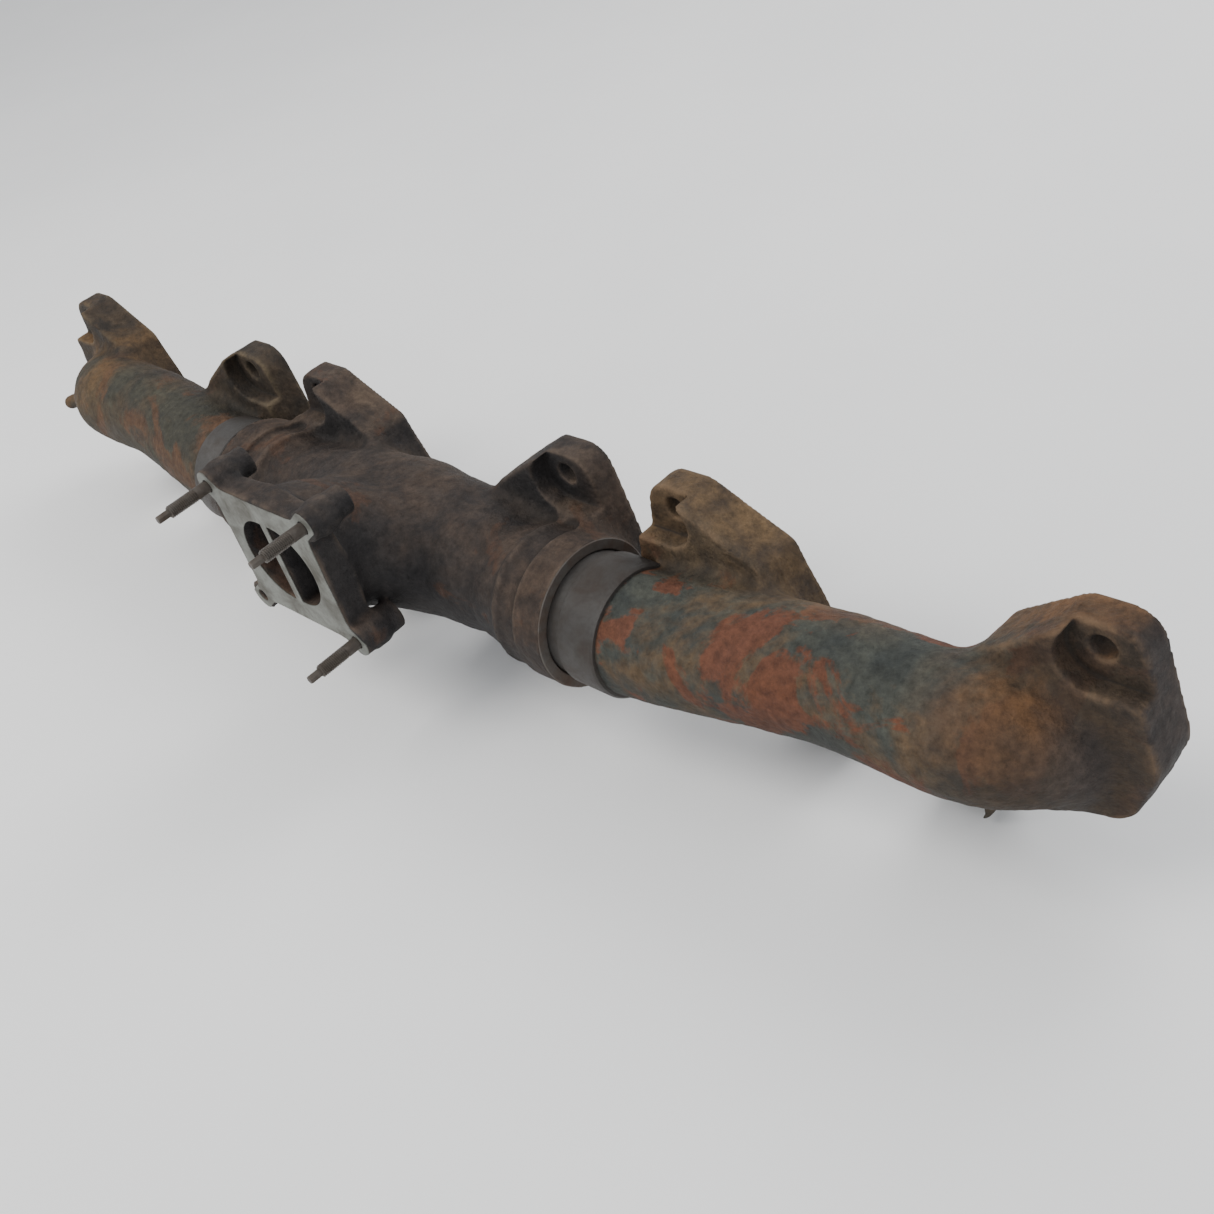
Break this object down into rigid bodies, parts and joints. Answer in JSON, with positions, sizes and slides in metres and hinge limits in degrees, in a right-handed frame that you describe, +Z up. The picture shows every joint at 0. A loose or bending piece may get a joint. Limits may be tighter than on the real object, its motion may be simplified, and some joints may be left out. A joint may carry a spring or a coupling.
{
  "type": "exhaust manifold",
  "caption": "Sectional cast-iron exhaust manifold with end sections in sliding collars and a divided turbocharger flange with studs.",
  "frame": {"origin": "centre of the turbocharger flange face, on the front edge of its dividing wall", "axes": "+X along the engine towards cylinder 6, +Y towards the cylinder head and into the turbocharger flange, +Z up"},
  "size_m": [0.9364, 0.176, 0.1665],
  "materials": {
    "front_casting": "rough, olive-brown oxide",
    "centre_casting": "rough, brown oxide",
    "rear_casting": "rough, orange rust over grey-green iron",
    "seal_ring": "ground",
    "stud_steel": "threaded, heat-darkened"
  },
  "bodies": {
    "centre": {"centre_section": "centre_casting", "stud_upper_front": "stud_steel", "stud_upper_rear": "stud_steel", "stud_lower_rear": "stud_steel"},
    "front_rings": {"front_inner_ring": "seal_ring", "front_middle_ring": "seal_ring", "front_outer_ring": "seal_ring"},
    "front_end": {"front_section": "front_casting"},
    "rear_rings": {"rear_inner_ring": "seal_ring", "rear_middle_ring": "seal_ring", "rear_outer_ring": "seal_ring"},
    "rear_end": {"rear_section": "rear_casting"}
  },
  "joints": [
    {"name": "front_slide", "type": "slide", "parent": "centre", "child": "front_rings", "axis": [-1, 0, 0], "range_m": [-0.006, 0.01]},
    {"name": "front_swivel", "type": "hinge", "parent": "front_rings", "child": "front_end", "pos_m": [-0.153, 0.081, -0.0365], "axis": [1, 0, 0], "continuous": true},
    {"name": "rear_slide", "type": "slide", "parent": "centre", "child": "rear_rings", "axis": [1, 0, 0], "range_m": [-0.006, 0.01]},
    {"name": "rear_swivel", "type": "hinge", "parent": "rear_rings", "child": "rear_end", "pos_m": [0.17, 0.081, -0.0365], "axis": [1, 0, 0], "continuous": true}
  ]
}
